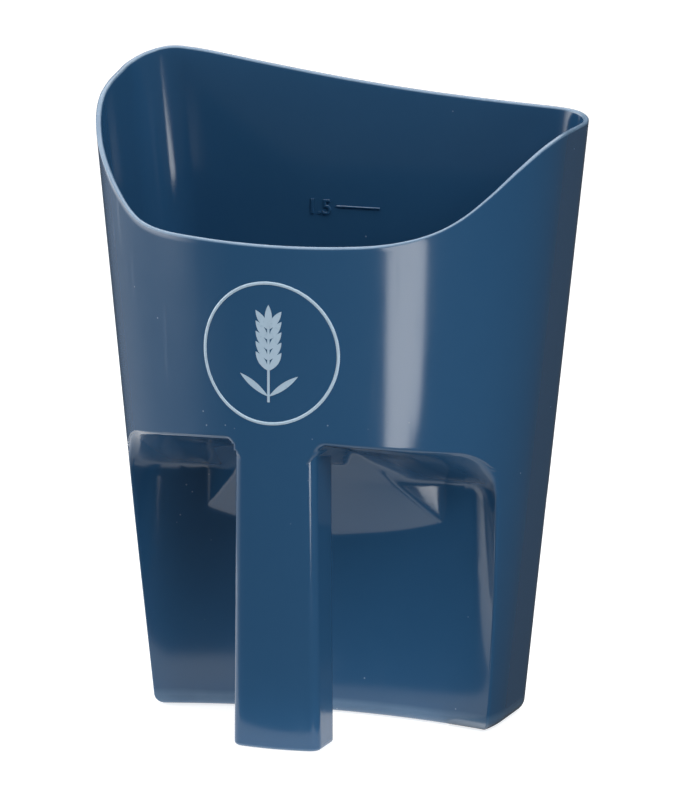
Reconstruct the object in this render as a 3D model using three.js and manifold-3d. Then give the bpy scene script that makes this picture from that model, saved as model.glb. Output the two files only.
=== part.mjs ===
// A feed scoop: a deep D-shaped bin moulded in blue plastic, with a flat back that slides into the feed,
// a grip recess cut into the lower front, and a hollow handle that hangs down over the recess.
// Millimetres. +Z is up out of the mouth, -Y is the handle side, +X is to the right of someone facing the handle.
// Shapes are drawn about the plan's widest line, on the handle's centre plane and up from the base.
// The finished group is then moved so that the origin is the middle of the flat base.
import * as THREE from "three";
import { ParametricGeometry } from "three/addons/geometries/ParametricGeometry.js";
import { mergeVertices } from "three/addons/utils/BufferGeometryUtils.js";
import Module from "manifold-3d";

const wasm = await Module();
wasm.setup();

// ---- Driving dimensions ----
const WALL = 2; // thickness of every moulded wall
const GAP = 0.3; // clearance between neighbouring solids
const BASE_HALF_WIDTH = 64.2; // half width at the base
const SIDE_DRAFT = 0.104; // how much each side leans out per mm of height
const FRONT_DEPTH = 62.2; // front of the bow, ahead of the widest line
const BACK_DEPTH = 36; // flat back, behind the widest line, at the base
const BACK_DRAFT = 0.0114; // how much the back leans out per mm of height
const BACK_CORNER = 18; // plan radius of the two back corners
const FOOT_RADIUS = 4; // rounding where walls turn into the floor
const BASE_CENTRE = 16; // middle of the flat base, behind the widest line
const SPLIT_HEIGHT = 114; // division between the lower walls and the hopper wall

const RECESS_DEPTH = 4.2; // middle of the recess wall, ahead of the widest line
const RECESS_BOW = 0.00275; // the recess wall comes forward by this times x squared
const RECESS_FLARE = 0.04; // extra forward sweep of its upper ends
const FLARE_START = 56;
const SHELF_BACK_HEIGHT = 88; // where the recess roof meets the recess wall
const EDGE_HEIGHT = 109; // lower edge of the front wall, over the middle of the recess
const EDGE_ARCH = 4.6 / 57 ** 2;
const EDGE_CORNER = 10; // radius of the recess's upper corners
const EDGE_CORNER_START = 58.5;
const BELLY_HALF_WIDTH = 44.6; // the hopper's sloped belly over the finger gap
const BELLY_HEIGHT = 65;
const BELLY_ARCH = 8 / 45 ** 2;
const BELLY_SLOPE = 1.6; // rise of its underside for each mm forward
const BELLY_ROOF_SLOPE = 1 / 4.2; // the same, nearer the front wall
const CREASE_FOOT = [43.5, 73]; // where the underside and the flank part at the wall
const CREASE_LEAN = 0.97;
const CREASE_LEAST = 17;

const HANDLE_HALF_WIDTH = [15.9, 14.7]; // at its lower end and at its root
const HANDLE_THICKNESS = [19.6, 21.4];
const HANDLE_CORNER = 3.2;
const HANDLE_WALL = 2.4;

// Height of the mouth's edge, by distance walked round it anticlockwise from the right-hand end of the widest line.
const RIM = [
  [0, 212], [20, 212.4], [29, 213.4], [37, 214.2], [46, 214.7], [71, 216.2], [98, 218.3], [125, 221.3],
  [152, 225.1], [166, 227.3], [179, 229.2], [189, 229.6], [198, 227.8], [206, 225.4], [215, 223.2],
  [225, 221], [234, 217.6], [244, 211.3], [254, 203.6], [264, 197], [275, 189.5], [287, 182.4],
  [299, 179.1], [318, 178], [351, 177.3], [378, 177.8], [391, 179], [403, 181.8], [415, 187],
  [426, 194.2], [437, 202], [448, 208.1], [458, 211.2],
];

// ---- The scoop's surfaces ----
const lerp = THREE.MathUtils.lerp;
const halfWidth = (z) => BASE_HALF_WIDTH + SIDE_DRAFT * z;
const backDepth = (z) => BACK_DEPTH + BACK_DRAFT * z;

// Forward face of the bow at x, drawn in by inset.
function frontY(x, z, inset = 0) {
  const across = Math.min(1, Math.abs(x) / (halfWidth(z) - inset));
  return -(FRONT_DEPTH - inset) * Math.sqrt(1 - across * across);
}

// Height of the front wall's lower edge, which is the upper edge of the recess.
function edgeHeight(x) {
  const past = THREE.MathUtils.clamp(Math.abs(x) - EDGE_CORNER_START, 0, EDGE_CORNER);
  return EDGE_HEIGHT - EDGE_ARCH * x * x - (EDGE_CORNER - Math.sqrt(EDGE_CORNER ** 2 - past ** 2));
}

// Outer face of the recess: its wall, its sloped roof and the belly that bulges into the middle of it.
function recessFace(x, z, narrow = 0) {
  const a = Math.abs(x);
  const flare = RECESS_FLARE * Math.max(0, a - FLARE_START) ** 2 * (z / SHELF_BACK_HEIGHT);
  const wall = -RECESS_DEPTH - RECESS_BOW * x * x - flare;
  const top = edgeHeight(x);
  const reach = wall - frontY(x, top);
  const roof = Math.max(0, (reach * (z - SHELF_BACK_HEIGHT)) / Math.max(2, top - SHELF_BACK_HEIGHT));
  const steep = (z - BELLY_HEIGHT - BELLY_ARCH * x * x) / BELLY_SLOPE;
  const under = Math.max(steep, reach - (top - z) / BELLY_ROOF_SLOPE);
  const crease = Math.max(CREASE_LEAST, CREASE_FOOT[0] - CREASE_LEAN * (z - CREASE_FOOT[1])) - narrow;
  const side = BELLY_HALF_WIDTH - 0.04 * Math.max(0, Math.min(z, 109) - 98) ** 2 - narrow;
  const flank = THREE.MathUtils.clamp((a - crease) / Math.max(1.5, side - crease), 0, 1);
  return wall - Math.max(0, lerp(under, roof, flank));
}

// Inner face of the recess, one wall thickness behind the outer one measured square to it.
function recessInside(x, z, inset) {
  const straight = recessFace(x, z, inset) + inset;
  const sloped = recessFace(x, z - 0.8 * inset, inset) + 0.6 * inset;
  return Math.max(straight, sloped);
}

// Stations round the plan, anticlockwise from the right-hand end of the widest line.
const SIDE_STEPS = 2;
const CORNER_STEPS = 6;
const BACK_STEPS = 8;
const BOW_SIDE_STEPS = 8;
const BOW_MIDDLE_STEPS = 24;
const BOW_STEPS = 2 * BOW_SIDE_STEPS + BOW_MIDDLE_STEPS;
const BOW_STRIDE = 4.6; // stations in the middle of the bow stand this far apart
const BOW_MIDDLE = (BOW_STRIDE * BOW_MIDDLE_STEPS) / 2;
const STATIONS = 2 * SIDE_STEPS + 2 * CORNER_STEPS + BACK_STEPS + BOW_STEPS;

// Plan point of a station, with the outline drawn in by inset and the recess left out.
function planPoint(station, z, inset) {
  const w = halfWidth(z) - inset;
  const b = backDepth(z) - inset;
  const r = BACK_CORNER - inset;
  let k = station % STATIONS;
  if (k < SIDE_STEPS) return [w, ((b - r) * k) / SIDE_STEPS];
  k -= SIDE_STEPS;
  if (k < CORNER_STEPS) {
    const turn = ((Math.PI / 2) * k) / CORNER_STEPS;
    return [w - r + r * Math.cos(turn), b - r + r * Math.sin(turn)];
  }
  k -= CORNER_STEPS;
  if (k < BACK_STEPS) return [(w - r) * (1 - (2 * k) / BACK_STEPS), b];
  k -= BACK_STEPS;
  if (k < CORNER_STEPS) {
    const turn = ((Math.PI / 2) * k) / CORNER_STEPS;
    return [-(w - r) - r * Math.sin(turn), b - r + r * Math.cos(turn)];
  }
  k -= CORNER_STEPS;
  if (k < SIDE_STEPS) return [-w, (b - r) * (1 - k / SIDE_STEPS)];
  k -= SIDE_STEPS;
  const x = bowX(k, w);
  return [x, -(FRONT_DEPTH - inset) * Math.sqrt(Math.max(0, 1 - (x / w) ** 2))];
}

// Where a station of the bow stands across the width: by angle at both ends, evenly in the middle.
function bowX(k, w) {
  if (k > BOW_STEPS / 2) return -bowX(BOW_STEPS - k, w);
  if (k > BOW_SIDE_STEPS) return -BOW_MIDDLE + BOW_STRIDE * (k - BOW_SIDE_STEPS);
  return -w * Math.cos((Math.acos(BOW_MIDDLE / w) * k) / BOW_SIDE_STEPS);
}

// Point of the moulding at a station: the plan with the recess pushed into it.
function wallPoint(station, z, inset, target) {
  const [x, y] = planPoint(station, z, inset);
  const face = inset > 0 ? recessInside(x, z, inset) : recessFace(x, z);
  const pushed = y < 0 && z < SPLIT_HEIGHT ? Math.max(y, face) : y;
  return target.set(x, pushed, z);
}

// Smooth curve through the mouth's heights, closed round the scoop; walked and round are distances.
function rimHeight(walked, round) {
  const at = (n) => {
    const turns = Math.floor(n / RIM.length);
    const [s, h] = RIM[n - turns * RIM.length];
    return [s + round * turns, h];
  };
  let i = 0;
  while (i < RIM.length - 1 && RIM[i + 1][0] <= walked) i++;
  const [p0, p1, p2, p3] = [at(i - 1), at(i), at(i + 1), at(i + 2)];
  const span = p2[0] - p1[0];
  const t = (walked - p1[0]) / span;
  const m1 = ((p2[1] - p0[1]) / (p2[0] - p0[0])) * span;
  const m2 = ((p3[1] - p1[1]) / (p3[0] - p1[0])) * span;
  const t2 = t * t;
  const t3 = t2 * t;
  return (2 * t3 - 3 * t2 + 1) * p1[1] + (t3 - 2 * t2 + t) * m1 + (3 * t2 - 2 * t3) * p2[1] + (t3 - t2) * m2;
}

// ---- Builders ----
// A ring of wall: each row of the closed profile is [inset, height at a station].
function ring(rows) {
  const geometry = new ParametricGeometry(
    (u, v, target) => {
      const station = Math.round(u * STATIONS) % STATIONS;
      const row = rows[Math.round(v * rows.length) % rows.length];
      wallPoint(station, row[1](station), row[0], target);
    },
    STATIONS,
    rows.length,
  );
  return solid(geometry);
}

// A manifold solid from a three.js geometry.
function solid(geometry) {
  const g = geometry.clone();
  g.deleteAttribute("normal");
  g.deleteAttribute("uv");
  const merged = mergeVertices(g, 1e-4);
  const index = merged.index.array;
  const triangles = [];
  for (let i = 0; i < index.length; i += 3) {
    const [a, b, c] = [index[i], index[i + 1], index[i + 2]];
    if (a !== b && b !== c && c !== a) triangles.push(a, b, c);
  }
  const made = new wasm.Manifold(
    new wasm.Mesh({
      numProp: 3,
      vertProperties: merged.attributes.position.array,
      triVerts: new Uint32Array(triangles),
    }),
  );
  if (made.volume() > 0) return made;
  for (let i = 0; i < triangles.length; i += 3) {
    [triangles[i], triangles[i + 1]] = [triangles[i + 1], triangles[i]];
  }
  return new wasm.Manifold(
    new wasm.Mesh({
      numProp: 3,
      vertProperties: merged.attributes.position.array,
      triVerts: new Uint32Array(triangles),
    }),
  );
}

function box(low, high) {
  const size = high.map((h, i) => h - low[i]);
  const geometry = new THREE.BoxGeometry(...size);
  geometry.translate(...low.map((l, i) => l + size[i] / 2));
  return solid(geometry);
}

const scoop = new THREE.Group();
scoop.name = "feed_scoop";

function addPiece(name, made, colour, roughness) {
  const mesh = made.getMesh();
  const geometry = new THREE.BufferGeometry();
  geometry.setAttribute("position", new THREE.BufferAttribute(mesh.vertProperties, 3));
  geometry.setIndex(new THREE.BufferAttribute(mesh.triVerts, 1));
  geometry.computeVertexNormals();
  const material = new THREE.MeshStandardMaterial({ color: colour, roughness, metalness: 0 });
  const piece = new THREE.Mesh(geometry, material);
  piece.name = name;
  scoop.add(piece);
}

const BLUE = 0x32577a;
const PALE = 0xa9bfd6;

// ---- Hopper wall: from the division up to the mouth ----
const MOUTH_HEIGHT = 205; // height at which the walk round the mouth is measured
const walk = [0];
for (let k = 1; k <= STATIONS; k++) {
  const [x0, y0] = planPoint(k - 1, MOUTH_HEIGHT, 0);
  const [x1, y1] = planPoint(k, MOUTH_HEIGHT, 0);
  walk.push(walk[k - 1] + Math.hypot(x1 - x0, y1 - y0));
}
const rimAt = (station) => rimHeight(walk[station], walk[STATIONS]);
const HOPPER_ROWS = 7;
const hopperRow = (f) => (station) => lerp(SPLIT_HEIGHT + GAP, rimAt(station) - 0.8, f);
const hopper = [];
for (let i = 0; i <= HOPPER_ROWS; i++) hopper.push([0, hopperRow(i / HOPPER_ROWS)]);
hopper.push([0.35, (s) => rimAt(s) - 0.15]);
hopper.push([WALL / 2, rimAt]);
hopper.push([WALL - 0.35, (s) => rimAt(s) - 0.15]);
for (let i = HOPPER_ROWS; i >= 0; i--) hopper.push([WALL, hopperRow(i / HOPPER_ROWS)]);
addPiece("hopper_wall", ring(hopper), BLUE, 0.22);

// ---- Lower walls, with the recess pressed into the front ----
// Rows follow the recess: up to the foot of its roof, up the roof to its front edge, then the plain wall.
const roofFoot = (station) => {
  const x = Math.abs(planPoint(station, 90, 0)[0]);
  const inBow = station >= STATIONS - BOW_STEPS;
  if (inBow && x < BELLY_HALF_WIDTH) return BELLY_HEIGHT + BELLY_ARCH * x * x;
  return inBow ? SHELF_BACK_HEIGHT : 80;
};
const roofEdge = (station) => {
  const x = Math.abs(planPoint(station, 105, 0)[0]);
  return station >= STATIONS - BOW_STEPS ? Math.max(edgeHeight(x), 98) : 105;
};
const WALL_ROWS = 5;
const ROOF_ROWS = 8;
const lower = [];
lower.push([FOOT_RADIUS, () => 0]);
lower.push([1.2, () => 1.2]);
for (let i = 0; i <= WALL_ROWS; i++) {
  lower.push([0, (s) => lerp(FOOT_RADIUS, roofFoot(s), i / WALL_ROWS)]);
}
for (let i = 1; i <= ROOF_ROWS; i++) {
  lower.push([0, (s) => lerp(roofFoot(s), roofEdge(s), i / ROOF_ROWS)]);
}
lower.push([0, () => SPLIT_HEIGHT]);
lower.push([WALL, () => SPLIT_HEIGHT]);
for (let i = ROOF_ROWS; i >= 0; i--) {
  lower.push([WALL, (s) => lerp(roofFoot(s) + WALL, roofEdge(s) + WALL, i / ROOF_ROWS)]);
}
for (let i = WALL_ROWS - 1; i >= 0; i--) {
  lower.push([WALL, (s) => lerp(FOOT_RADIUS + WALL, roofFoot(s) + WALL, i / WALL_ROWS)]);
}
lower.push([WALL + 0.6, () => WALL + 0.6]);
lower.push([FOOT_RADIUS, () => WALL]);
const lowerRing = ring(lower);

// The walls that the grip recess is made of come out as their own piece.
const RECESS_PIECE_HALF_WIDTH = 58;
const RECESS_PIECE_BACK = 12;
const cut = (half) => box([-half, -90, -5], [half, RECESS_PIECE_BACK, SPLIT_HEIGHT + 5]);
addPiece("side_and_back_wall", lowerRing.subtract(cut(RECESS_PIECE_HALF_WIDTH + GAP / 2)), BLUE, 0.22);
addPiece("grip_recess", lowerRing.intersect(cut(RECESS_PIECE_HALF_WIDTH - GAP / 2)), BLUE, 0.22);

// ---- Floor ----
const floorOutline = [];
for (let k = 0; k < STATIONS; k++) {
  const p = wallPoint(k, 0, FOOT_RADIUS + GAP, new THREE.Vector3());
  floorOutline.push(new THREE.Vector2(p.x, p.y));
}
const floor = new THREE.ExtrudeGeometry(new THREE.Shape(floorOutline), { depth: WALL, bevelEnabled: false });
addPiece("floor_plate", solid(floor), BLUE, 0.22);

// ---- Handle ----
// Height of the belly's underside over a plan point: the handle's root ends just below it.
function undersideHeight(x, y) {
  const wall = -RECESS_DEPTH - RECESS_BOW * x * x;
  const top = edgeHeight(x);
  const steep = BELLY_HEIGHT + BELLY_ARCH * x * x + BELLY_SLOPE * (wall - y);
  return Math.min(steep, top - (y - frontY(x, top)) * BELLY_ROOF_SLOPE);
}

// A bar with rounded corners whose front follows the bow, drawn in by inset, from z = low up to the belly.
function handleBar(inset, low, clear) {
  const r = HANDLE_CORNER - inset * 0.6;
  const w = 1 - inset / HANDLE_HALF_WIDTH[0];
  const d = 1 - inset / HANDLE_THICKNESS[0];
  const [rx, ry] = [r / HANDLE_HALF_WIDTH[0], r / HANDLE_THICKNESS[0]];
  const section = new THREE.Shape();
  section.moveTo(-w + rx, inset / HANDLE_THICKNESS[0]);
  for (const x of [-0.5, 0, 0.5]) section.lineTo(x * w, inset / HANDLE_THICKNESS[0]);
  section.lineTo(w - rx, inset / HANDLE_THICKNESS[0]);
  section.quadraticCurveTo(w, inset / HANDLE_THICKNESS[0], w, inset / HANDLE_THICKNESS[0] + ry);
  section.lineTo(w, d - ry);
  section.quadraticCurveTo(w, d, w - rx, d);
  section.lineTo(-w + rx, d);
  section.quadraticCurveTo(-w, d, -w, d - ry);
  section.lineTo(-w, inset / HANDLE_THICKNESS[0] + ry);
  section.quadraticCurveTo(-w, inset / HANDLE_THICKNESS[0], -w + rx, inset / HANDLE_THICKNESS[0]);
  const bar = new THREE.ExtrudeGeometry(section, { depth: 1, steps: 5, bevelEnabled: false, curveSegments: 4 });
  const p = bar.attributes.position;
  for (let i = 0; i < p.count; i++) {
    const f = p.getZ(i);
    const x = p.getX(i) * lerp(HANDLE_HALF_WIDTH[0], HANDLE_HALF_WIDTH[1], f);
    const bow = frontY(x, 60) + FRONT_DEPTH;
    const fade = THREE.MathUtils.clamp(1 - p.getY(i) / 0.5, 0, 1);
    const y = -FRONT_DEPTH + p.getY(i) * lerp(HANDLE_THICKNESS[0], HANDLE_THICKNESS[1], f) + bow * fade;
    p.setXYZ(i, x, y, lerp(low, undersideHeight(x, y) - clear, f));
  }
  return solid(bar);
}
const handle = handleBar(0, 0, 2 * GAP).subtract(handleBar(HANDLE_WALL, -1, 2 * GAP + 4));
addPiece("handle", handle, BLUE, 0.2);

// ---- Raised capacity mark inside the back wall ----
const MARK_RAISE = 0.7;
const MARK_HEIGHT = 175; // the level that holds one and a half litres
const STROKE = 0.8;
function mark(name, outline) {
  const shape = new THREE.Shape(outline.map(([x, z]) => new THREE.Vector2(x, z)));
  const plate = new THREE.ExtrudeGeometry(shape, { depth: MARK_RAISE, bevelEnabled: false });
  plate.rotateX(Math.PI / 2);
  plate.translate(0, backDepth(MARK_HEIGHT) - WALL - GAP, MARK_HEIGHT);
  addPiece(name, solid(plate), BLUE, 0.25);
}
mark("mark_line", [[-11.4, -STROKE / 2], [4.8, -STROKE / 2], [4.8, STROKE / 2], [-11.4, STROKE / 2]]);
mark("mark_one", [[-22.9, -3], [-22, -3], [-22, 2.6], [-23, 2.6], [-24.3, 1.5], [-23.7, 0.8], [-22.9, 1.4]]);
mark("mark_point", [[-20.6, -3], [-19.6, -3], [-19.6, -2], [-20.6, -2]]);
const five = [[-14.4, 2.6], [-17.6, 2.6], [-17.9, -0.5], [-17.1, -0.7], [-16.2, -0.3], [-15.3, -0.8]];
five.push([-15.2, -1.6], [-16, -2.2], [-17.6, -1.9], [-17.9, -2.7], [-15.9, -3.1], [-14.3, -2.2]);
five.push([-14.1, -0.9], [-14.7, 0.1], [-15.9, 0.6], [-16.9, 0.5], [-16.8, 1.7], [-14.4, 1.7]);
mark("mark_five", five);

// ---- Printed emblem on the front wall: a plain ring round an ear of grain ----
const EMBLEM_CENTRE = [-1.5, 139.7];
const EMBLEM_RADIUS = 24.5;
const EMBLEM_LINE = 1.1;
const FILM = 0.3;
const film = (x, z, out) => frontY(x, z) - GAP - 0.1 - out * FILM;
function emblemRing() {
  const turns = 48;
  const corner = [[-0.5, 0], [-0.5, 1], [0.5, 1], [0.5, 0]];
  return new ParametricGeometry(
    (u, v, target) => {
      const angle = (2 * Math.PI * (Math.round(u * turns) % turns)) / turns;
      const [side, out] = corner[Math.round(v * 4) % 4];
      const r = EMBLEM_RADIUS + side * EMBLEM_LINE;
      const x = EMBLEM_CENTRE[0] + r * Math.sin(angle);
      const z = EMBLEM_CENTRE[1] + r * Math.cos(angle);
      target.set(x, film(x, z, out), z);
    },
    turns,
    4,
  );
}
addPiece("emblem_ring", solid(emblemRing()), PALE, 0.45);

// A flat outline laid on the bow as a film.
function onBow(shape, steps) {
  const plate = new THREE.ExtrudeGeometry(shape, { depth: 1, bevelEnabled: false, curveSegments: steps });
  const p = plate.attributes.position;
  for (let i = 0; i < p.count; i++) {
    const x = EMBLEM_CENTRE[0] + p.getX(i);
    const z = EMBLEM_CENTRE[1] + p.getY(i);
    p.setXYZ(i, x, film(x, z, p.getZ(i)), z);
  }
  return solid(plate);
}
function grain(x, z, lean, length, width) {
  const shape = new THREE.Shape();
  const tip = [x + length * Math.sin(lean), z + length * Math.cos(lean)];
  const mid = [x + 0.45 * length * Math.sin(lean), z + 0.45 * length * Math.cos(lean)];
  const side = [width * Math.cos(lean), -width * Math.sin(lean)];
  shape.moveTo(x, z);
  shape.quadraticCurveTo(mid[0] + side[0], mid[1] + side[1], tip[0], tip[1]);
  shape.quadraticCurveTo(mid[0] - side[0], mid[1] - side[1], x, z);
  return shape;
}
const stem = new THREE.Shape();
stem.moveTo(-0.5, -17);
stem.lineTo(0.5, -17);
stem.lineTo(0.4, 12);
stem.lineTo(-0.4, 12);
stem.closePath();
let ear = onBow(stem, 1).add(onBow(grain(0, 8, 0, 9, 2.4), 4));
for (let i = 0; i < 5; i++) {
  for (const side of [-1, 1]) {
    ear = ear.add(onBow(grain(side * 0.1, -6 + 3.6 * i, side * 0.62, 8, 2.3), 4));
  }
}
for (const side of [-1, 1]) ear = ear.add(onBow(grain(side * 0.1, -15, side * 0.95, 13, 2), 5));
addPiece("emblem_ear", ear, PALE, 0.45);

scoop.position.y = -BASE_CENTRE;

export default scoop;
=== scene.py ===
# %% [markdown]
# # A moulded feed scoop
# This lesson builds a one-handed feed scoop: a deep bin with a flat back and a bowed front, a recess for
# the fingers, and a handle that hangs down in front of it. The real scoop is one piece of blue plastic with
# an emblem printed on it. Everything is worked out in millimetres from a few formulas and turned to metres
# at the end.

# %% Load the frame
import bmesh
import bpy
import math
import numpy as np
from mathutils import Matrix, Vector


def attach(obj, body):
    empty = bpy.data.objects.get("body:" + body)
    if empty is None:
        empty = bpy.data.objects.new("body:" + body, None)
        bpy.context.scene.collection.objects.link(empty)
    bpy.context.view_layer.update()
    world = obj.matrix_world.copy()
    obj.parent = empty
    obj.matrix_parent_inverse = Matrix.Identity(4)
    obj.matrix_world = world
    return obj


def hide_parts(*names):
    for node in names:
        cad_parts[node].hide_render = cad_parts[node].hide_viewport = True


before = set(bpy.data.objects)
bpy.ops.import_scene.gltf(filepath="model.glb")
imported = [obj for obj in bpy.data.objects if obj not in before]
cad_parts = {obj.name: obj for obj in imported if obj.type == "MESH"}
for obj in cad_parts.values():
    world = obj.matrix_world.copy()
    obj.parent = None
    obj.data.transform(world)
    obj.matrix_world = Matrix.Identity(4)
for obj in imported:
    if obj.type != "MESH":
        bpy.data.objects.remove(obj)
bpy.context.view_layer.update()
print("frame nodes:", sorted(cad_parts))

# %% [markdown]
# ## The sizes that rule the shape
# A moulder's drawing gives a plan at the base, the draft of each wall and the line of the mouth. The same
# numbers ruled the solid parts in the frame, so the visible shell lies where the frame's walls are.

# %% Sizes in millimetres
MM = 0.001
BASE_CENTRE = 16.0  # the frame's origin lies this far behind the widest line of the plan
WALL = 2.0
BASE_HALF_WIDTH = 64.2
SIDE_DRAFT = 0.104
FRONT_DEPTH = 62.2
BACK_DEPTH = 36.0
BACK_DRAFT = 0.0114
BACK_CORNER = 18.0
FOOT_RADIUS = 4.0
RECESS_DEPTH = 4.2
RECESS_BOW = 0.00275
RECESS_FLARE = 0.04
FLARE_START = 56.0
SHELF_BACK_HEIGHT = 88.0
EDGE_HEIGHT = 109.0
EDGE_ARCH = 4.6 / 57**2
EDGE_CORNER = 10.0
EDGE_CORNER_START = 58.5
BELLY_HALF_WIDTH = 44.6
BELLY_HEIGHT = 65.0
BELLY_ARCH = 8 / 45**2
BELLY_SLOPE = 1.6  # rise of its underside for each mm forward
BELLY_ROOF_SLOPE = 1 / 4.2  # the same, nearer the front wall
CREASE_FOOT = (43.5, 73.0)  # where the underside and the flank part at the wall
CREASE_LEAN = 0.97
CREASE_LEAST = 17.0
HANDLE_HALF_WIDTH = (15.9, 14.7)  # at the lower end and at the root
HANDLE_THICKNESS = (19.6, 21.4)
HANDLE_CORNER = 3.2
HANDLE_WALL = 2.4
MOUTH_HEIGHT = 205.0  # the height at which the walk round the mouth is measured
# Height of the mouth's edge by the distance walked round it from its right-hand side.
RIM = [
    (0, 212), (20, 212.4), (29, 213.4), (37, 214.2), (46, 214.7), (71, 216.2), (98, 218.3), (125, 221.3),
    (152, 225.1), (166, 227.3), (179, 229.2), (189, 229.6), (198, 227.8), (206, 225.4), (215, 223.2),
    (225, 221), (234, 217.6), (244, 211.3), (254, 203.6), (264, 197), (275, 189.5), (287, 182.4),
    (299, 179.1), (318, 178), (351, 177.3), (378, 177.8), (391, 179), (403, 181.8), (415, 187),
    (426, 194.2), (437, 202), (448, 208.1), (458, 211.2),
]
print("the mouth's edge has", len(RIM), "heights")

# %% [markdown]
# ## Surfaces as formulas
# Each wall is a formula that gives how far forward the plastic reaches at a place across and a height. Two
# surfaces meet in a smooth maximum or minimum, which rounds the edge between them as a mould's radius does.

# %% Smooth meeting of two surfaces
def soft_min(a, b, radius):
    h = np.clip(0.5 + 0.5 * (b - a) / radius, 0, 1)
    return b * (1 - h) + a * h - radius * h * (1 - h)


def soft_max(a, b, radius):
    return -soft_min(-a, -b, radius)


def smooth_step(low, high, value):
    t = np.clip((value - low) / (high - low), 0, 1)
    return t * t * (3 - 2 * t)


# %% The bowed front and the drafted walls
def half_width(z):
    return BASE_HALF_WIDTH + SIDE_DRAFT * z


def back_depth(z):
    return BACK_DEPTH + BACK_DRAFT * z


def bow(x, z, inset=0.0):
    across = np.minimum(1, np.abs(x) / (half_width(z) - inset))
    return -(FRONT_DEPTH - inset) * np.sqrt(1 - across**2)


print("front of the bow at the base and at the mouth:", bow(0, 0), bow(0, 177))


# %% [markdown]
# ## The grip recess
# The fingers go between the handle and a wall set back under the hopper. A sloped roof joins that wall to
# the front wall's lower edge, and in the middle the hopper's belly comes down into the gap. Between two
# creases the face follows the belly's underside, and outside them it passes over to the roof.

# %% Edge of the front wall over the recess
ROOT_FILLET = 5.0  # radius where the handle's sides run into the front wall's lower edge
ROOT_DROP = 3.0  # how far the edge dips inside the handle, out of sight
ROOT_DROP_WIDTH = 2.5


def edge_height(x):
    past = np.clip(np.abs(x) - EDGE_CORNER_START, 0, EDGE_CORNER)
    return EDGE_HEIGHT - EDGE_ARCH * x**2 - (EDGE_CORNER - np.sqrt(EDGE_CORNER**2 - past**2))


def root_edge(x):
    """The lower edge with the fillets that carry it down into the handle."""
    a = np.abs(x)
    side = HANDLE_HALF_WIDTH[1]
    along = np.clip(side + ROOT_FILLET - a, 0, ROOT_FILLET)
    fillet = EDGE_HEIGHT - ROOT_FILLET + np.sqrt(ROOT_FILLET**2 - along**2)
    inside = ROOT_DROP * smooth_step(side, side - ROOT_DROP_WIDTH, a)
    return np.minimum(edge_height(x), fillet - inside)


print("edge over the recess: %.1f mm at the middle, %.1f at its ends" % (edge_height(0.0), edge_height(67.0)))

# %% The recess wall, its roof and the belly
LEAST_RISE = 2.0  # keeps the roof's slope finite where the edge turns down
FLAT_MEET = 6.0  # how softly the steep underside turns into its flat front
FLANK_WIDTH = 1.5  # least width of the flank beyond a crease
SIDE_DRAW = 0.04  # how fast the flank's outer side draws in above SIDE_DRAW_START
SIDE_DRAW_START = 98.0
CREASE_SOFTNESS = 0.12
ROOF_SOFTNESS = 3.0
WALL_SOFTNESS = 0.6
HIDE_DEPTH = 40.0  # above the edge the recess is sent far behind the front wall
HIDE_HEIGHTS = (111.0, 116.0)
SLOPED_INSET = (0.8, 0.6)  # a wall's thickness, measured down and back, where the roof slopes


def recess_wall(x, z):
    flare = RECESS_FLARE * np.maximum(0, np.abs(x) - FLARE_START) ** 2 * (z / SHELF_BACK_HEIGHT)
    return -RECESS_DEPTH - RECESS_BOW * x**2 - flare


def roof_depth(x, z):
    """How far ahead of the recess wall the plain sloped roof stands."""
    top = edge_height(x)
    reach = recess_wall(x, z) - bow(x, top)
    return reach * (z - SHELF_BACK_HEIGHT) / np.maximum(LEAST_RISE, top - SHELF_BACK_HEIGHT)


def under_depth(x, z):
    """The same for the belly's underside: steep at the wall, flatter towards the front."""
    top = edge_height(x)
    reach = recess_wall(x, z) - bow(x, top)
    steep = (z - BELLY_HEIGHT - BELLY_ARCH * x**2) / BELLY_SLOPE
    return soft_max(steep, reach - (top - z) / BELLY_ROOF_SLOPE, FLAT_MEET)


def recess_face(x, z, narrow=0.0):
    across = np.abs(x)
    crease = np.maximum(CREASE_LEAST, CREASE_FOOT[0] - CREASE_LEAN * (z - CREASE_FOOT[1])) - narrow
    drawn = np.maximum(0, np.minimum(z, EDGE_HEIGHT) - SIDE_DRAW_START)
    side = BELLY_HALF_WIDTH - SIDE_DRAW * drawn ** 2 - narrow
    flank = np.clip((across - crease) / np.maximum(FLANK_WIDTH, side - crease), 0, 1)
    flank = soft_max(flank, 0.0, CREASE_SOFTNESS)
    roof = soft_max(roof_depth(x, z), 0.0, ROOF_SOFTNESS)
    depth = (1 - flank) * under_depth(x, z) + flank * roof
    hidden = HIDE_DEPTH * smooth_step(*HIDE_HEIGHTS, z)
    return recess_wall(x, z) - soft_max(depth, 0.0, WALL_SOFTNESS) - hidden


def recess_inside(x, z, inset):
    straight = recess_face(x, z, inset) + inset
    down, back = SLOPED_INSET
    sloped = recess_face(x, z - down * inset, inset) + back * inset
    return np.maximum(straight, sloped)


# %% The whole front
LIP_SLOPE = 6.0  # how steeply the front wall ends at its lower edge
LIP_RADIUS = 2.2
INNER_RADIUS = 2.0


def front(x, z, inset):
    """Forward reach of the moulding's front, outside or one wall in."""
    skin = bow(x, z, inset)
    if np.max(inset) > 0:
        return soft_max(skin, recess_inside(x, z, inset), INNER_RADIUS)
    lip = skin + LIP_SLOPE * (root_edge(x) - z)
    return soft_max(skin, np.minimum(recess_face(x, z), lip), LIP_RADIUS)


# %% [markdown]
# ## Walking round the plan
# A shell like this is a grid: stations round the plan and rows from the foot up the outside, over the
# mouth's edge and down the inside. Stations crowd where the shape turns quickly, so the glossy surface stays
# smooth there.

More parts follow.
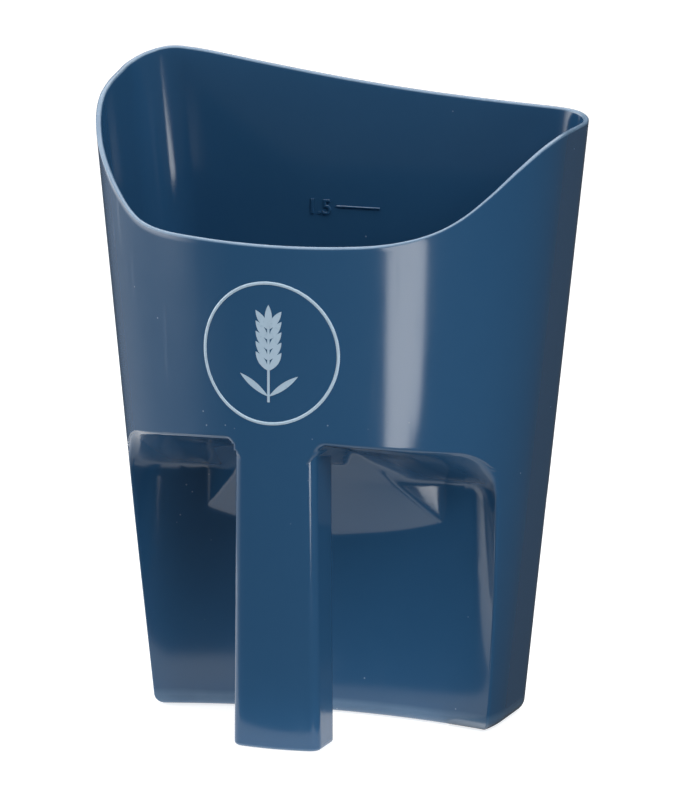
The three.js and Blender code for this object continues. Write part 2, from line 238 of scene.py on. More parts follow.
# %% Stations round the plan
SIDE_STEPS = 6
CORNER_STEPS = 20
BACK_STEPS = 26
BOW_SIDE_STEPS = 30
BOW_MIDDLE_STEPS = 120
BOW_MIDDLE = 55.2  # half the width over which the front's stations are evenly spaced


def plan(z, inset):
    """Plan points at each station, for one height per station."""
    w = half_width(z) - inset
    b = back_depth(z) - inset
    r = BACK_CORNER - inset
    steps = [SIDE_STEPS, CORNER_STEPS, BACK_STEPS, CORNER_STEPS, SIDE_STEPS]
    steps += [BOW_SIDE_STEPS, BOW_MIDDLE_STEPS, BOW_SIDE_STEPS]
    starts = np.cumsum([0] + steps)
    x = np.zeros(starts[-1])
    y = np.zeros(starts[-1])
    part = [slice(starts[i], starts[i + 1]) for i in range(len(steps))]
    share = [np.arange(n) / n for n in steps]
    x[part[0]], y[part[0]] = w[part[0]], (b[part[0]] - r) * share[0]
    turn = share[1] * math.pi / 2
    x[part[1]] = w[part[1]] - r + r * np.cos(turn)
    y[part[1]] = b[part[1]] - r + r * np.sin(turn)
    x[part[2]], y[part[2]] = (w[part[2]] - r) * (1 - 2 * share[2]), b[part[2]]
    x[part[3]] = -(w[part[3]] - r) - r * np.sin(turn)
    y[part[3]] = b[part[3]] - r + r * np.cos(turn)
    x[part[4]], y[part[4]] = -w[part[4]], (b[part[4]] - r) * (1 - share[4])
    x[part[5]] = -w[part[5]] * np.cos(np.arccos(BOW_MIDDLE / w[part[5]]) * share[5])
    x[part[6]] = -BOW_MIDDLE + 2 * BOW_MIDDLE * share[6]
    x[part[7]] = w[part[7]] * np.cos(np.arccos(BOW_MIDDLE / w[part[7]]) * (1 - share[7]))
    return x, y, starts[5]


STATIONS = 2 * SIDE_STEPS + 2 * CORNER_STEPS + BACK_STEPS + 2 * BOW_SIDE_STEPS + BOW_MIDDLE_STEPS


def shell_row(z, inset):
    x, y, bow_start = plan(z, inset)
    s = slice(bow_start, None)
    y[s] = front(x[s], z[s], inset)
    return np.column_stack([x, y, z])


print("stations:", STATIONS)


# %% Height of the mouth at each station
def rim_height(walked, length):
    """A smooth closed curve through the heights of the mouth."""
    s = np.array([p[0] for p in RIM], float)
    h = np.array([p[1] for p in RIM], float)
    s = np.concatenate([s[-2:] - length, s, s[:3] + length])
    h = np.concatenate([h[-2:], h, h[:3]])
    slope = (h[2:] - h[:-2]) / (s[2:] - s[:-2])
    i = np.clip(np.searchsorted(s, walked, side="right") - 1, 1, len(s) - 3)
    span = s[i + 1] - s[i]
    t = (walked - s[i]) / span
    m1, m2 = slope[i - 1] * span, slope[i] * span
    return (
        (2 * t**3 - 3 * t**2 + 1) * h[i] + (t**3 - 2 * t**2 + t) * m1
        + (3 * t**2 - 2 * t**3) * h[i + 1] + (t**3 - t**2) * m2
    )


level = np.full(STATIONS, MOUTH_HEIGHT)
ring_x, ring_y, bow_start = plan(level, 0.0)
ring_y[bow_start:] = bow(ring_x[bow_start:], level[bow_start:])
step = np.hypot(np.roll(ring_x, -1) - ring_x, np.roll(ring_y, -1) - ring_y)
walked = np.concatenate([[0], np.cumsum(step)[:-1]])
rim = rim_height(walked, step.sum())
print("mouth: %.1f mm round, from %.1f to %.1f mm high" % (step.sum(), rim.min(), rim.max()))


# %% Turn rows of points into a closed mesh
def finish_mesh(name, points, faces, wear_and_sheen=None):
    """A smooth-shaded object in metres in the frame's place, with an optional value at each point for wear
    and for the painted highlight on the mouth's edge.
    """
    place = np.asarray(points, float).copy()
    place[:, 1] -= BASE_CENTRE
    mesh = bpy.data.meshes.new(name)
    mesh.from_pydata((place * MM).tolist(), [], faces)
    mesh.polygons.foreach_set("use_smooth", [True] * len(mesh.polygons))
    if wear_and_sheen is not None:
        layer = mesh.attributes.new("wear_and_sheen", "FLOAT", "POINT")
        layer.data.foreach_set("value", np.asarray(wear_and_sheen, np.float32))
    mesh.update()
    piece = bpy.data.objects.new(name, mesh)
    bpy.context.scene.collection.objects.link(piece)
    print(name, "has", len(faces), "faces")
    return piece


def ring_quads(rows, columns):
    """Quads between neighbouring rows of a ring."""
    faces = []
    for r in range(rows - 1):
        for k in range(columns):
            n = (k + 1) % columns
            a, b = r * columns, (r + 1) * columns
            faces.append((a + k, a + n, b + n, b + k))
    return faces


def grid_faces(rows, columns):
    """The same, with a fan over the first and the last row, to the two points that follow the rows."""
    faces = ring_quads(rows, columns)
    first, last = rows * columns, rows * columns + 1
    end = (rows - 1) * columns
    for k in range(columns):
        n = (k + 1) % columns
        faces.append((first, n, k))
        faces.append((last, end + k, end + n))
    return faces


# %% [markdown]
# ## The bin
# The rows follow the recess: they gather between the foot of its roof and its front edge, so both edges are
# crisp. The mouth's edge is a half round between the outer and the inner wall.

# %% Rows up the outside, over the edge and down the inside
FOOT_ROWS = 8
WALL_ROWS = 34
ROOF_ROWS = 56
HOPPER_ROWS = 40
EDGE_ROWS = 6
ROOF_MIDDLE = 95.0  # the height at which the stations' places across are read
BELLY_END = (43.5, 54.0)  # between these the foot of the roof rises to the shelf
BELLY_ARCH_END = 47.0
LEAST_ROOF_TOP = 97.0
ROOF_MARGIN = 2.5
SIDE_ROOF_TOP = 107.0
INNER_FOOT = 2.5  # radius inside the foot
FLOOR_STEP = 1.2  # from the foot's round to the first ring of the flat floor

across = np.abs(plan(np.full(STATIONS, ROOF_MIDDLE), 0.0)[0])
in_bow = np.arange(STATIONS) >= bow_start
past_belly = smooth_step(*BELLY_END, across)
belly_foot = BELLY_HEIGHT + BELLY_ARCH * np.minimum(across, BELLY_ARCH_END) ** 2
roof_foot = belly_foot * (1 - past_belly) + SHELF_BACK_HEIGHT * past_belly
roof_foot = np.where(in_bow, roof_foot, SHELF_BACK_HEIGHT)
roof_top = np.maximum(edge_height(across), LEAST_ROOF_TOP) + ROOF_MARGIN
roof_top = np.where(in_bow, roof_top, SIDE_ROOF_TOP)

rows = []
wear_and_sheen = []


def add_row(inset, height, worn_and_sheen=0.0):
    z = np.broadcast_to(np.asarray(height, float), (STATIONS,)).copy()
    rows.append(shell_row(z, inset))
    wear_and_sheen.append(np.full(STATIONS, worn_and_sheen))


FOOT_WEAR = 0.5
# On the mouth's edge this value pales the plastic for wear and also paints a pale highlight line.
RIM_WEAR_AND_SHEEN = 1.0
add_row(FOOT_RADIUS + FLOOR_STEP, 0.0)
for i in range(FOOT_ROWS + 1):
    turn = math.pi / 2 * i / FOOT_ROWS
    add_row(FOOT_RADIUS * (1 - math.sin(turn)), FOOT_RADIUS * (1 - math.cos(turn)), FOOT_WEAR)
for i in range(1, WALL_ROWS + 1):
    add_row(0.0, FOOT_RADIUS + (roof_foot - FOOT_RADIUS) * i / WALL_ROWS)
for i in range(1, ROOF_ROWS + 1):
    add_row(0.0, roof_foot + (roof_top - roof_foot) * i / ROOF_ROWS)
rim_start = rim - WALL / 2
for i in range(1, HOPPER_ROWS + 1):
    add_row(0.0, roof_top + (rim_start - roof_top) * i / HOPPER_ROWS)
for i in range(1, 2 * EDGE_ROWS):
    turn = math.pi * i / (2 * EDGE_ROWS)
    add_row(WALL / 2 * (1 - math.cos(turn)), rim_start + WALL / 2 * math.sin(turn), RIM_WEAR_AND_SHEEN)
for i in range(HOPPER_ROWS + 1):
    add_row(WALL, rim_start + (roof_top + WALL - rim_start) * i / HOPPER_ROWS)
for i in range(1, ROOF_ROWS // 2 + 1):
    add_row(WALL, roof_top + WALL + (roof_foot - roof_top) * i / (ROOF_ROWS // 2))
low = WALL + INNER_FOOT
for i in range(1, WALL_ROWS // 2 + 1):
    add_row(WALL, roof_foot + WALL + (low - roof_foot - WALL) * i / (WALL_ROWS // 2))
for i in range(1, FOOT_ROWS + 1):
    turn = math.pi / 2 * i / FOOT_ROWS
    add_row(WALL + INNER_FOOT * (1 - math.cos(turn)), WALL + INNER_FOOT * (1 - math.sin(turn)))
add_row(WALL + INNER_FOOT + FLOOR_STEP, WALL)

floor_middle = (BACK_DEPTH - RECESS_DEPTH) / 2
points = np.vstack(rows + [[[0, floor_middle, 0]], [[0, floor_middle, WALL]]])
bin_faces = grid_faces(len(rows), STATIONS)
bin_wear_and_sheen = np.append(np.concatenate(wear_and_sheen), [0, 0])
bin_piece = finish_mesh("moulded_bin", points, bin_faces, bin_wear_and_sheen)

# %% [markdown]
# ## The handle
# The handle is a hollow bar that carries on down from the front wall and hangs free in front of the recess.
# Its front follows the bow. Near its root it passes through the wall's own surface at a very flat angle, so
# hardly a line shows where it starts.

# %% Section of the handle
ARC = 9  # points on each corner
FACE = 14  # steps along each side


def bar_section():
    """A rounded rectangle, anticlockwise from above: which corner a point belongs to, and its turn there."""
    corners = [(1, 1), (-1, 1), (-1, -1), (1, -1)]
    loop = []
    for n, (sx, sy) in enumerate(corners):
        start = math.pi / 2 * n
        for i in range(ARC):
            turn = start + math.pi / 2 * i / (ARC - 1)
            loop.append((sx, sy, math.cos(turn), math.sin(turn)))
        nx, ny = corners[(n + 1) % 4]
        end = start + math.pi / 2
        for i in range(1, FACE):
            share = i / FACE
            loop.append((sx + (nx - sx) * share, sy + (ny - sy) * share, math.cos(end), math.sin(end)))
    return np.array(loop)


section = bar_section()
COLUMNS = len(section)
print("points round the handle:", COLUMNS)

# %% One row of the handle
BELLY_LEVEL = 80.0  # the height at which the recess wall is read behind the handle
LEAST_CORNER = 0.8
CORNER_SHRINK = 0.6  # how much smaller the corners of the hollow are, for each mm drawn in
BOW_HEIGHTS = (20.0, 90.0)  # the height whose bow the lower end follows, and how much higher the root's is
FLUSH = 0.03
FLUSH_HEIGHTS = (101, 110)


def underside(x, y):
    """Height of the belly's underside over a point of the plan."""
    wall = recess_wall(x, BELLY_LEVEL)
    top = edge_height(x)
    steep = BELLY_HEIGHT + BELLY_ARCH * x**2 + BELLY_SLOPE * (wall - y)
    return np.minimum(steep, top - (y - bow(x, top)) * BELLY_ROOF_SLOPE)


def bar_row(height_share, inset, embed, lift=0.0):
    """One row of the handle: its outline drawn in by inset, at a share of the way up to the belly."""
    f = height_share
    half = HANDLE_HALF_WIDTH[0] + (HANDLE_HALF_WIDTH[1] - HANDLE_HALF_WIDTH[0]) * f - inset
    thick = HANDLE_THICKNESS[0] + (HANDLE_THICKNESS[1] - HANDLE_THICKNESS[0]) * f - 2 * inset
    r = max(LEAST_CORNER, HANDLE_CORNER - CORNER_SHRINK * inset)
    middle = -FRONT_DEPTH + inset + thick / 2
    sx, sy, cx, cy = section.T
    x = sx * (half - r) + cx * r
    y = middle + sy * (thick / 2 - r) + cy * r
    # The front face follows the bow, and the back one is flat.
    fade = np.clip((middle + thick / 4 - y) / (0.75 * thick), 0, 1)
    y = y + (bow(x, BOW_HEIGHTS[0] + BOW_HEIGHTS[1] * f) + FRONT_DEPTH) * fade
    z = f * (underside(x, y) + embed) + lift
    # The front face starts a hair proud of the wall's surface and ends a hair behind it.
    flush = FLUSH * (2 * smooth_step(*FLUSH_HEIGHTS, z) - 1)
    y = y + (0.0 if inset > 0 else 1.0) * np.where(fade > 0.9, flush, 0.0)
    return np.column_stack([x, y, z])


# %% Rows of the handle
BAR_ROWS = 70
HOLLOW_ROWS = 24
END_ROWS = 4
END_RADIUS = 1.1
EMBED = 1.2  # how far the bar's top goes up into the belly
HOLLOW_TOP = -5.0  # and how far below the belly its hollow ends
LIFT_SPAN = 110
END_WEAR = 0.6


def raised_row(share, inset, embed):
    """A row above the rounded lower end, drawn up so that it follows on from it."""
    row = bar_row(share, inset, embed)
    row[:, 2] = END_RADIUS + row[:, 2] * (1 - END_RADIUS / LIFT_SPAN)
    return row


bar = []
for i in range(END_ROWS + 1):
    turn = math.pi / 2 * i / END_ROWS
    bar.append(bar_row(0.0, END_RADIUS * (1 - math.sin(turn)), 0, END_RADIUS * (1 - math.cos(turn))))
for i in range(1, BAR_ROWS + 1):
    bar.append(raised_row(i / BAR_ROWS, 0.0, EMBED))
# The hollow: from the roof of the cavity down to the lower end.
hollow = []
for i in range(HOLLOW_ROWS + 1):
    hollow.append(raised_row(1 - i / HOLLOW_ROWS, HANDLE_WALL, HOLLOW_TOP))
for i in range(1, END_ROWS + 1):
    turn = math.pi / 2 * i / END_ROWS
    inset = HANDLE_WALL - END_RADIUS * (1 - math.cos(turn))
    hollow.append(bar_row(0.0, inset, 0, END_RADIUS * (1 - math.sin(turn))))

bar_points = np.vstack(hollow + bar)
total = len(hollow) + len(bar)
faces = ring_quads(total, COLUMNS)
faces.append(tuple(range(COLUMNS - 1, -1, -1)))
end = (total - 1) * COLUMNS
faces.append(tuple(end + k for k in range(COLUMNS)))
handle_wear = np.zeros(len(bar_points))
handle_wear[len(hollow) * COLUMNS:(len(hollow) + END_ROWS) * COLUMNS] = END_WEAR
handle_piece = finish_mesh("bar_handle", bar_points, faces, handle_wear)
for face in handle_piece.data.polygons[-2:]:
    face.use_smooth = False

# %% [markdown]
# ## The capacity mark
# A number and a level line stand a little proud inside the back wall. They are cut into the mould, so they
# are the same plastic. Text with a small bevel gives the soft edge of a moulded figure.

# %% Raised figure and line
MARK_HEIGHT = 175.0
MARK_RAISE = 0.55
FIGURE_RIGHT = -13.2  # where the figure ends, across the wall
FIGURE_DROP = 3.0  # from the level line down to the figure's foot
mark_wall = back_depth(MARK_HEIGHT) - WALL


def mesh_of(thing):
    bpy.context.view_layer.update()
    graph = bpy.context.evaluated_depsgraph_get()
    return bpy.data.meshes.new_from_object(thing.evaluated_get(graph))


text = bpy.data.curves.new("figure", "FONT")
text.body = "1.5"
text.size = 7.6
text.extrude = MARK_RAISE / 2
text.bevel_depth = 0.12
text.bevel_resolution = 2
text.offset = -0.05
text.align_x = "RIGHT"
text_object = bpy.data.objects.new("figure", text)
bpy.context.scene.collection.objects.link(text_object)
figure = mesh_of(text_object)
bpy.data.objects.remove(text_object)
weld = bmesh.new()
weld.from_mesh(figure)
bmesh.ops.remove_doubles(weld, verts=weld.verts, dist=0.001)
bmesh.ops.recalc_face_normals(weld, faces=weld.faces)
weld.to_mesh(figure)
weld.free()

points = np.zeros(len(figure.vertices) * 3)
figure.vertices.foreach_get("co", points)
points = points.reshape(-1, 3)
points = np.column_stack([
    points[:, 0] + FIGURE_RIGHT,
    mark_wall - MARK_RAISE / 2 - points[:, 2],
    MARK_HEIGHT - FIGURE_DROP + points[:, 1],
])
figure_faces = [tuple(p.vertices) for p in figure.polygons]

LINE_ENDS = (-11.4, 4.8)
LINE_HALF = 0.42  # half its thickness
profile = [(-1.0, 0.1), (-0.8, -0.4), (-0.45, -MARK_RAISE), (0.45, -MARK_RAISE), (0.8, -0.4), (1.0, 0.1)]
line_points = [(x, mark_wall + out, MARK_HEIGHT + up * LINE_HALF) for x in LINE_ENDS for up, out in profile]
base = len(points)
n = len(profile)
line_faces = [(base + i, base + (i + 1) % n, base + n + (i + 1) % n, base + n + i) for i in range(n)]
line_faces += [tuple(base + i for i in reversed(range(n))), tuple(base + n + i for i in range(n))]
mark_piece = finish_mesh("capacity_mark", np.vstack([points, line_points]), figure_faces + line_faces)
mark_piece.data.polygons.foreach_set("use_smooth", [False] * len(mark_piece.data.polygons))

# %% [markdown]
# ## Sums written as Python
# Node trees do their sums in nodes. A small class wraps a socket, so that a sum written in Python adds the
# nodes. One method makes any other node from its type, its settings and its inputs.

# %% A bench that builds node trees
class Value:
    def __init__(self, bench, socket):
        self.bench = bench
        self.socket = socket

    def _sum(self, operation, first, second):
        return self.bench.node("ShaderNodeMath", {"operation": operation}, {0: first, 1: second}).out(0)

    def __add__(self, other):
        return self._sum("ADD", self, other)

    __radd__ = __add__

    def __sub__(self, other):
        return self._sum("SUBTRACT", self, other)

    def __rsub__(self, other):
        return self._sum("SUBTRACT", other, self)

    def __mul__(self, other):
        return self._sum("MULTIPLY", self, other)

    __rmul__ = __mul__

    def __truediv__(self, other):
        return self._sum("DIVIDE", self, other)

    def __pow__(self, other):
        return self._sum("POWER", self, other)

    def between(self, low, high):
        """0 below low, 1 above high, and a straight line between."""
        inputs = {"Value": self, "From Min": low, "From Max": high}
        return self.bench.node("ShaderNodeMapRange", {"clamp": True}, inputs).out(0)


class Made:
    def __init__(self, bench, node):
        self.bench = bench
        self.node = node

    def out(self, name=0):
        return Value(self.bench, self.node.outputs[name])


class Bench:
    """Adds nodes to one tree."""

    def __init__(self, tree):
        self.tree = tree

    def node(self, kind, settings=None, inputs=None):
        node = self.tree.nodes.new(kind)
        for key, value in (settings or {}).items():
            setattr(node, key, value)
        for key, value in (inputs or {}).items():
            if isinstance(value, Value):
                self.tree.links.new(value.socket, node.inputs[key])
            else:
                node.inputs[key].default_value = value
        return Made(self, node)

    def blend(self, share, first, second):
        """Two colours mixed by a share from 0 to 1."""
        inputs = {"Factor": share, "A": first, "B": second}
        return self.node("ShaderNodeMix", {"data_type": "RGBA"}, inputs).out(2)


# %% [markdown]
# ## The moulded plastic
# The plastic is a deep blue gloss. Up close it isn't perfect: the colour drifts a little where it flowed, the
# skin is faintly rippled, feed has left fine rubs and a few specks of dust, and the thin edge of the mouth is
# paler, partly where it has been pushed into grain and partly as a painted highlight along the edge.

# %% Blue gloss plastic
BLUE = (0.017, 0.068, 0.150, 1.0)
BLUE_PALE = (0.036, 0.102, 0.200, 1.0)
# Pale colour for worn edges, made light enough to also paint the highlight along the mouth's edge.
EDGE_PALE_AND_SHEEN = (0.170, 0.270, 0.380, 1.0)
DUST = (0.30, 0.38, 0.46, 1.0)
GLOSS = 0.13  # roughness of the untouched skin


def plastic(name):
    material = bpy.data.materials.new(name)
    material.use_nodes = True
    material.node_tree.nodes.clear()
    bench = Bench(material.node_tree)
    place = bench.node("ShaderNodeTexCoord").out("Object")

    def noise(scale, detail=3.0, rough=0.5, stretch=None):
        where = place
        if stretch:
            where = bench.node("ShaderNodeMapping", None, {"Vector": place, "Scale": stretch}).out(0)
        inputs = {"Vector": where, "Scale": scale, "Detail": detail, "Roughness": rough}
        return bench.node("ShaderNodeTexNoise", None, inputs).out(0)

    drift = noise(14.0, 2.0, 0.5, (1.0, 1.0, 0.45))
    cloud = noise(90.0, 4.0, 0.6)
    worn_and_sheen = bench.node("ShaderNodeAttribute", {"attribute_name": "wear_and_sheen"}).out("Fac")
    rubs = noise(420.0, 2.0, 0.5, (1.0, 1.0, 0.05)).between(0.60, 0.74)
    specks = bench.node("ShaderNodeTexVoronoi", None, {"Vector": place, "Scale": 160.0, "Randomness": 1.0})
    sparse = noise(35.0, 1.0).between(0.56, 0.62)
    dust = specks.out("Distance").between(0.060, 0.035) * sparse

    paler = drift.between(0.30, 0.75) * 0.16 + cloud.between(0.35, 0.75) * 0.05
    tint = bench.blend(paler, BLUE, BLUE_PALE)
    # Worn places turn pale; on the mouth's edge this pale colour is partly a painted highlight.
    edged = bench.blend(worn_and_sheen * (cloud.between(0.2, 0.7) * 0.25 + 0.40), tint, EDGE_PALE_AND_SHEEN)
    colour = bench.blend(dust * 0.45, edged, DUST)
    rough = cloud * 0.05 + rubs * 0.07 + worn_and_sheen * 0.12 + dust * 0.3 + GLOSS - 0.025
    ripple = drift * 0.5 + noise(700.0, 2.0) * 0.010
    bump = bench.node("ShaderNodeBump", None, {"Strength": 0.35, "Distance": 0.0012, "Height": ripple}).out(0)
    finish = {"Base Color": colour, "Roughness": rough, "Normal": bump, "IOR": 1.48}
    shader = bench.node("ShaderNodeBsdfPrincipled", None, finish)
    bench.node("ShaderNodeOutputMaterial", None, {"Surface": shader.out(0)})
    return material


blue_plastic = plastic("blue_gloss_plastic")
for piece in (bin_piece, handle_piece, mark_piece):
    piece.data.materials.append(blue_plastic)
print("nodes in the plastic:", len(blue_plastic.node_tree.nodes))

# %% Pale printing ink
INK = (0.37, 0.49, 0.60, 1.0)
INK_THIN = (0.20, 0.31, 0.43, 1.0)
ink = bpy.data.materials.new("pale_print")
ink.use_nodes = True
ink.node_tree.nodes.clear()
bench = Bench(ink.node_tree)
where = bench.node("ShaderNodeTexCoord").out("Object")
grain = bench.node("ShaderNodeTexNoise", None, {"Vector": where, "Scale": 900.0, "Detail": 3.0}).out(0)
thin = bench.node("ShaderNodeTexNoise", None, {"Vector": where, "Scale": 160.0, "Detail": 2.0}).out(0)
missing = grain.between(0.58, 0.72) * 0.35 + thin.between(0.55, 0.8) * 0.2
colour = bench.blend(missing, INK, INK_THIN)
film_bump = bench.node("ShaderNodeBump", None, {"Strength": 0.2, "Distance": 0.0001, "Height": grain}).out(0)
finish = {"Base Color": colour, "Roughness": grain * 0.2 + 0.3, "Normal": film_bump}
shader = bench.node("ShaderNodeBsdfPrincipled", None, finish)
bench.node("ShaderNodeOutputMaterial", None, {"Surface": shader.out(0)})
print("nodes in the ink:", len(ink.node_tree.nodes))

# %% [markdown]
# ## The emblem
# The print is a thin ring with an ear of grain in the middle. One seed shape is repeated up the stem, at its
# tip and as the two leaves, so Geometry Nodes place it: they make the points, lean each seed to its own side,
# sweep the ring, join everything and wrap it on the bow of the wall.

# %% One seed: a pointed leaf shape one unit long, with a film's front and back
SEED_ROWS = 10
SEED_SECTION = [(0.5, 0.0), (-0.5, 0.0), (-0.5, -1.0), (0.0, -1.0), (0.5, -1.0)]
SEED_FULLNESS = 4.4


def seed_object(name):
    places = []
    for i in range(1, SEED_ROWS + 1):
        t = i / (SEED_ROWS + 1)
        width = SEED_FULLNESS * t * (1 - t)
        places += [(across * width, out, t) for across, out in SEED_SECTION]
    places += [(0.0, -0.5, 0.0), (0.0, -0.5, 1.0)]
    mesh = bpy.data.meshes.new(name)
    mesh.from_pydata(places, [], grid_faces(SEED_ROWS, len(SEED_SECTION)))
    mesh.update()
    return bpy.data.objects.new(name, mesh)


seed = seed_object("seed")
print("seed points:", len(seed.data.vertices))

# %% The tree that lays seeds and ring on the wall
EMBLEM_INPUTS = [
    ("Seed", "NodeSocketObject", seed),
    ("Pairs", "NodeSocketInt", 5),
    ("First height", "NodeSocketFloat", -6.0),
    ("Pitch", "NodeSocketFloat", 3.6),
    ("Lean", "NodeSocketFloat", 0.62),
    ("Seed length", "NodeSocketFloat", 8.0),
    ("Seed width", "NodeSocketFloat", 2.3),
    ("Ring radius", "NodeSocketFloat", 24.5),
    ("Ring line", "NodeSocketFloat", 1.1),
    ("Across", "NodeSocketFloat", -1.5),
    ("Height", "NodeSocketFloat", 139.7),
    ("Film", "NodeSocketFloat", 0.09),
    ("Material", "NodeSocketMaterial", ink),
]
tree = bpy.data.node_groups.new("printed_emblem", "GeometryNodeTree")
socket_names = {}
for name, kind, value in EMBLEM_INPUTS:
    socket_names[name] = tree.interface.new_socket(name, in_out="INPUT", socket_type=kind).identifier
tree.interface.new_socket("Geometry", in_out="OUTPUT", socket_type="NodeSocketGeometry")
bench = Bench(tree)
given = bench.node("NodeGroupInput")


def ask(name):
    return given.out(name)


def vector(x=0.0, y=0.0, z=0.0):
    return bench.node("ShaderNodeCombineXYZ", None, {0: x, 1: y, 2: z}).out(0)


picked = bench.node("GeometryNodeObjectInfo", None, {"Object": ask("Seed")}).out("Geometry")
index = bench.node("GeometryNodeInputIndex").out(0)
pair = bench.node("ShaderNodeMath", {"operation": "FLOOR"}, {0: index / 2}).out(0)
side = (index - pair * 2) * 2 - 1


def sprout(count, place, lean, length, width):
    """Seeds on points, each leaning to its own side."""
    spots = bench.node("GeometryNodePoints", None, {"Count": count, "Position": place, "Radius": 0.1}).out(0)
    inputs = {"Points": spots, "Instance": picked, "Rotation": vector(0.0, lean, 0.0)}
    inputs["Scale"] = vector(width, 1.0, length)
    return bench.node("GeometryNodeInstanceOnPoints", None, inputs).out(0)


OFF_STEM = 0.1  # how far each seed's foot stands from the middle of the stem
LEAF_HEIGHT, LEAF_LEAN, LEAF_LENGTH, LEAF_WIDTH = -15.0, 0.95, 13.0, 2.0
TIP_HEIGHT, TIP_LENGTH, TIP_WIDTH = 8.0, 9.0, 2.4
STEM_SIZE = (0.9, 1.0, 29.0)
STEM_MIDDLE = (0.0, -0.5, -2.5)

ear_height = ask("First height") + pair * ask("Pitch")
grains = sprout(ask("Pairs") * 2, vector(side * OFF_STEM, 0.0, ear_height), side * ask("Lean"),
                ask("Seed length"), ask("Seed width"))
leaves = sprout(2, vector(side * OFF_STEM, 0.0, LEAF_HEIGHT), side * LEAF_LEAN, LEAF_LENGTH, LEAF_WIDTH)
tip = sprout(1, vector(0.0, 0.0, TIP_HEIGHT), 0.0, TIP_LENGTH, TIP_WIDTH)
block = bench.node("GeometryNodeMeshCube", None, {"Size": STEM_SIZE, "Vertices Z": 20}).out("Mesh")
stem = bench.node("GeometryNodeTransform", None, {"Geometry": block, "Translation": STEM_MIDDLE})
line = {"Resolution": 180, "Radius": ask("Ring radius")}
circle = bench.node("GeometryNodeCurvePrimitiveCircle", None, line)
band = {"Width": ask("Ring line"), "Height": 1.0}
strip = bench.node("GeometryNodeCurvePrimitiveQuadrilateral", None, band)
swept = bench.node("GeometryNodeCurveToMesh", None,
                   {"Curve": circle.out("Curve"), "Profile Curve": strip.out("Curve")}).out(0)
ring = bench.node("GeometryNodeTransform", None,
                  {"Geometry": swept, "Translation": (0.0, -0.5, 0.0), "Rotation": (math.pi / 2, 0.0, 0.0)})
joined = bench.node("GeometryNodeJoinGeometry")
for part in (ring.out(0), stem.out(0), tip, leaves, grains):
    tree.links.new(part.socket, joined.node.inputs[0])
loose = bench.node("GeometryNodeRealizeInstances", None, {"Geometry": joined.out(0)}).out(0)

# %% Wrap the flat emblem on the bow of the wall
spot = bench.node("ShaderNodeSeparateXYZ", None, {0: bench.node("GeometryNodeInputPosition").out(0)})
x = spot.out("X") + ask("Across")
z = spot.out("Z") + ask("Height")
share = x / (z * SIDE_DRAFT + BASE_HALF_WIDTH)
bowed = (1 - share * share) ** 0.5 * -FRONT_DEPTH
y = bowed + (spot.out("Y") * 1.4 + 0.4) * ask("Film") - BASE_CENTRE
on_wall = vector(x * MM, y * MM, z * MM)
wrapped = bench.node("GeometryNodeSetPosition", None, {"Geometry": loose, "Position": on_wall})
solid = bench.node("GeometryNodeRealizeInstances", None, {"Geometry": wrapped.out(0)})
inked = bench.node("GeometryNodeSetMaterial", None, {"Geometry": solid.out(0), "Material": ask("Material")})
bench.node("NodeGroupOutput", None, {"Geometry": inked.out(0)})

# %% Grow the emblem and keep the plain mesh
holder = bpy.data.objects.new("emblem_holder", bpy.data.meshes.new("emblem_holder"))
bpy.context.scene.collection.objects.link(holder)
grow = holder.modifiers.new("emblem", "NODES")
grow.node_group = tree
for name, _, value in EMBLEM_INPUTS:
    grow[socket_names[name]] = value
emblem_mesh = mesh_of(holder)
bpy.data.objects.remove(holder)
emblem_piece = bpy.data.objects.new("printed_emblem", emblem_mesh)
bpy.context.scene.collection.objects.link(emblem_piece)
emblem_mesh.materials.clear()
emblem_mesh.materials.append(ink)
emblem_mesh.polygons.foreach_set("material_index", [0] * len(emblem_mesh.polygons))
print("emblem faces:", len(emblem_mesh.polygons))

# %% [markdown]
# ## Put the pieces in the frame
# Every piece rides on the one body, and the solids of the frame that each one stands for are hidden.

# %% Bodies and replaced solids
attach(bin_piece, "root")
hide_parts("hopper_wall", "side_and_back_wall", "grip_recess", "floor_plate")
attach(handle_piece, "root")
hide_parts("handle")
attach(mark_piece, "root")
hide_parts("mark_line", "mark_one", "mark_point", "mark_five")
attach(emblem_piece, "root")
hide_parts("emblem_ring", "emblem_ear")

# %% [markdown]
# ## Floor, light and camera
# Gloss plastic is only as good as what it mirrors. A pale floor and a bright room give the broad soft tones,
# and a few patches of the room are bright only in the gloss. The wide floor stays out of the gloss, and a
# small white sheet on it lights the foot of the handle. One narrow light close on the right draws the sharp
# strip down the front wall. The other lamps only soften the shade.

# %% Pale floor, and a sheet of white paper under the scoop
pale = bpy.data.materials.new("pale_floor")
pale.use_nodes = True
paper_look = pale.node_tree.nodes["Principled BSDF"].inputs
paper_look["Base Color"].default_value = (0.55, 0.55, 0.55, 1)
paper_look["Roughness"].default_value = 0.9
paper_look["Specular IOR Level"].default_value = 0.1
paper_look["Emission Color"].default_value = (1, 1, 1, 1)
paper_look["Emission Strength"].default_value = 0.72


def flat_sheet(name, x_range, y_range, height):
    (x0, x1), (y0, y1) = x_range, y_range
    mesh = bpy.data.meshes.new(name)
    corners = [(x0, y0, height), (x1, y0, height), (x1, y1, height), (x0, y1, height)]
    mesh.from_pydata(corners, [], [(0, 1, 2, 3)])
    mesh.materials.append(pale)
    sheet = bpy.data.objects.new(name, mesh)
    bpy.context.scene.collection.objects.link(sheet)
    return sheet


floor = flat_sheet("floor", (-6, 6), (-6, 6), -0.0004)
floor.visible_glossy = False
floor.visible_diffuse = False
flat_sheet("paper", (-0.30, 0.045), (-0.105, 0.35), -0.0002)

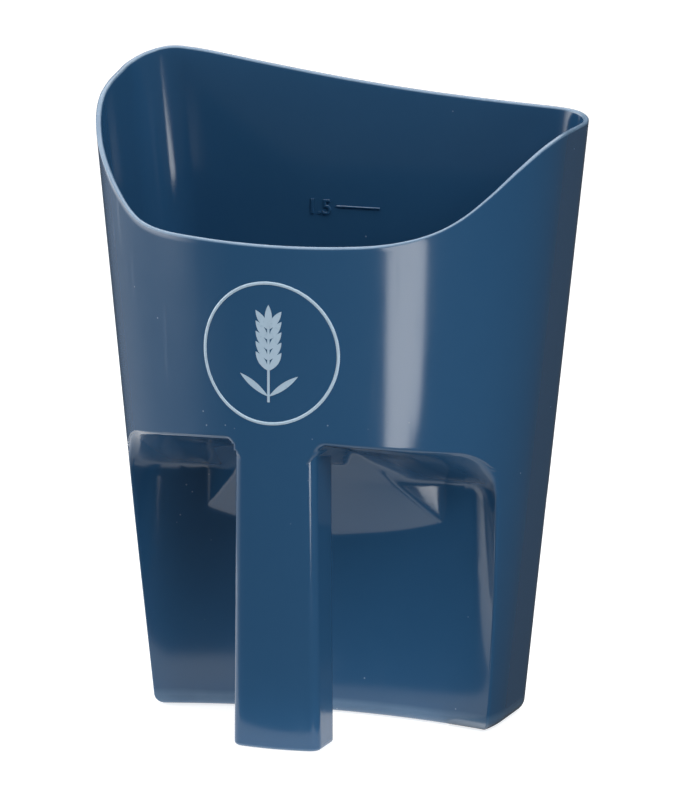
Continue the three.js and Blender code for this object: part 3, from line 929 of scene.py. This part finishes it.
# %% Room: what the gloss mirrors
world = bpy.data.worlds.new("studio")
bpy.context.scene.world = world
world.use_nodes = True
world.node_tree.nodes.clear()
bench = Bench(world.node_tree)
look = bench.node("ShaderNodeSeparateXYZ", None, {0: bench.node("ShaderNodeTexCoord").out("Generated")})
up = look.out("Z")
left = look.out("X") * -1.0
down = up * -1.0
path = bench.node("ShaderNodeLightPath")
left_wall = left.between(0.60, 0.95) * 0.45
table = down.between(0.50, 0.85) * 1.1
ceiling = up.between(0.1, 0.9) * 0.30
soft = left_wall + table + ceiling + 0.10
overhead = up.between(0.45, 0.80) * 5.0
low_left = left.between(0.50, 0.80) * down.between(0.40, 0.60) * 4.0
side_window = left.between(0.78, 0.92) * down.between(0.20, 0.14) * 4.0
mirrored = (overhead + low_left + side_window) * path.out("Is Glossy Ray")
seen = path.out("Is Camera Ray")
shares = {"Factor": seen, 2: soft + mirrored, 3: 1.0}
level = bench.node("ShaderNodeMix", {"data_type": "FLOAT"}, shares).out(0)
sky = bench.node("ShaderNodeBackground", None, {"Color": (1, 1, 1, 1), "Strength": level})
bench.node("ShaderNodeOutputWorld", None, {"Surface": sky.out(0)})
print("nodes in the room:", len(world.node_tree.nodes))


# %% Lamps
def lamp(name, place, target, width, height, radiance, lean=0.0, gloss=True):
    """A flat lamp hidden from the camera, turned by lean degrees about the way it faces."""
    light = bpy.data.lights.new(name, "AREA")
    light.shape = "RECTANGLE"
    light.size, light.size_y = width, height
    light.energy = radiance * math.pi * width * height
    holder = bpy.data.objects.new(name, light)
    bpy.context.scene.collection.objects.link(holder)
    holder.location = place
    aim = (Vector(target) - Vector(place)).to_track_quat("-Z", "Y").to_matrix()
    holder.rotation_euler = (aim @ Matrix.Rotation(math.radians(lean), 3, "Z")).to_euler()
    holder.visible_camera = False
    holder.visible_glossy = gloss
    print(name, "%.2f W" % light.energy)


lamp("strip_light", (0.2106, -0.3084, 0.1017), (0.0349, -0.0755, 0.1017), 0.092, 0.185, 7.0, lean=25.0)
lamp("left_light", (-1.3, -0.2, 0.5), (0, 0, 0.1), 1.0, 1.0, 4.5, gloss=False)
lamp("right_light", (1.1, -0.8, 1.1), (0, 0, 0.15), 0.8, 0.8, 7.0, gloss=False)
lamp("top_light", (-0.1, -0.2, 1.6), (0, 0, 0.1), 1.4, 1.4, 2.0, gloss=False)

# %% Camera
camera_data = bpy.data.cameras.new("camera")
camera_data.sensor_width = 36.0
camera_data.lens = 298.2
camera_data.clip_end = 50.0
camera = bpy.data.objects.new("camera", camera_data)
bpy.context.scene.collection.objects.link(camera)
camera.location = (0.76803, -2.17367, 0.56143)
camera.rotation_euler = Vector((-0.327562, 0.925007, -0.192522)).to_track_quat("-Z", "Y").to_euler()
bpy.context.scene.camera = camera
bpy.context.scene.view_settings.view_transform = "Standard"
print("camera at", tuple(round(v, 3) for v in camera.location), "with a", camera_data.lens, "mm lens")
